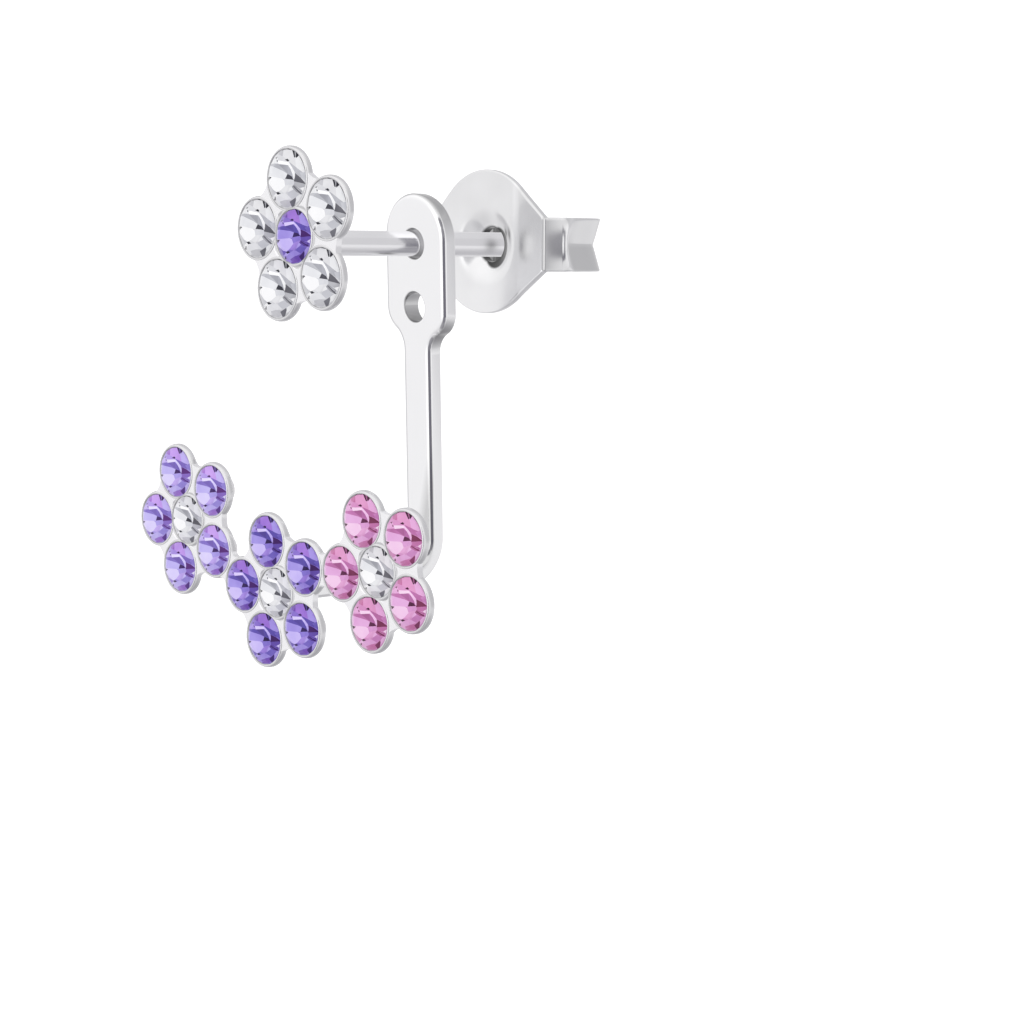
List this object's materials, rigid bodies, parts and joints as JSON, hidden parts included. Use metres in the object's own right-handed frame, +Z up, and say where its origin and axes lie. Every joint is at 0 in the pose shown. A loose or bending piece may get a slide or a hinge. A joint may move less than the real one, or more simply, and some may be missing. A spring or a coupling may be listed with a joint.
{
  "type": "ear jacket earring",
  "caption": "Ear jacket earring: flower stud on a straight post, bent bar jacket of three stone-set flowers that hangs behind the earlobe, and a sliding scroll nut.",
  "frame": {"origin": "centre of the stud's back pad, on the post's axis, where the front of the earlobe seats", "axes": "+Z up as worn, the flowers face -Y, the post runs along +Y through the earlobe, +X to the viewer's right seen from the front"},
  "size_m": [0.0151, 0.0122, 0.0173],
  "materials": {
    "silver_stud": "polished silver, bright",
    "silver_jacket": "polished silver, bright",
    "silver_nut": "pressed silver sheet, softly polished",
    "clear_crystal": "foiled cut crystal, clear",
    "purple_crystal": "foiled cut crystal, deep purple",
    "lilac_crystal": "foiled cut crystal, lilac",
    "pink_crystal": "foiled cut crystal, pink"
  },
  "bodies": {
    "stud": {"stud_setting": "silver_stud", "stud_petal_stone_1": "clear_crystal", "stud_petal_stone_2": "clear_crystal", "stud_petal_stone_3": "clear_crystal", "stud_petal_stone_4": "clear_crystal", "stud_petal_stone_5": "clear_crystal", "stud_centre_stone": "purple_crystal"},
    "jacket": {"jacket_frame": "silver_jacket", "left_petal_stone_1": "lilac_crystal", "left_petal_stone_2": "lilac_crystal", "left_petal_stone_3": "lilac_crystal", "left_petal_stone_4": "lilac_crystal", "left_petal_stone_5": "lilac_crystal", "left_centre_stone": "clear_crystal", "middle_petal_stone_1": "purple_crystal", "middle_petal_stone_2": "purple_crystal", "middle_petal_stone_3": "purple_crystal", "middle_petal_stone_4": "purple_crystal", "middle_petal_stone_5": "purple_crystal", "middle_centre_stone": "clear_crystal", "right_petal_stone_1": "pink_crystal", "right_petal_stone_2": "pink_crystal", "right_petal_stone_3": "pink_crystal", "right_petal_stone_4": "pink_crystal", "right_petal_stone_5": "pink_crystal", "right_centre_stone": "clear_crystal"},
    "nut": {"ear_nut": "silver_nut"}
  },
  "joints": [
    {"name": "jacket_swing", "type": "hinge", "parent": "stud", "child": "jacket", "pos_m": [0, 0.00485, 0], "axis": [0, 1, 0], "continuous": true},
    {"name": "nut_slide", "type": "slide", "parent": "stud", "child": "nut", "axis": [0, 1, 0], "range_m": [-0.0021, 0.0018]}
  ]
}
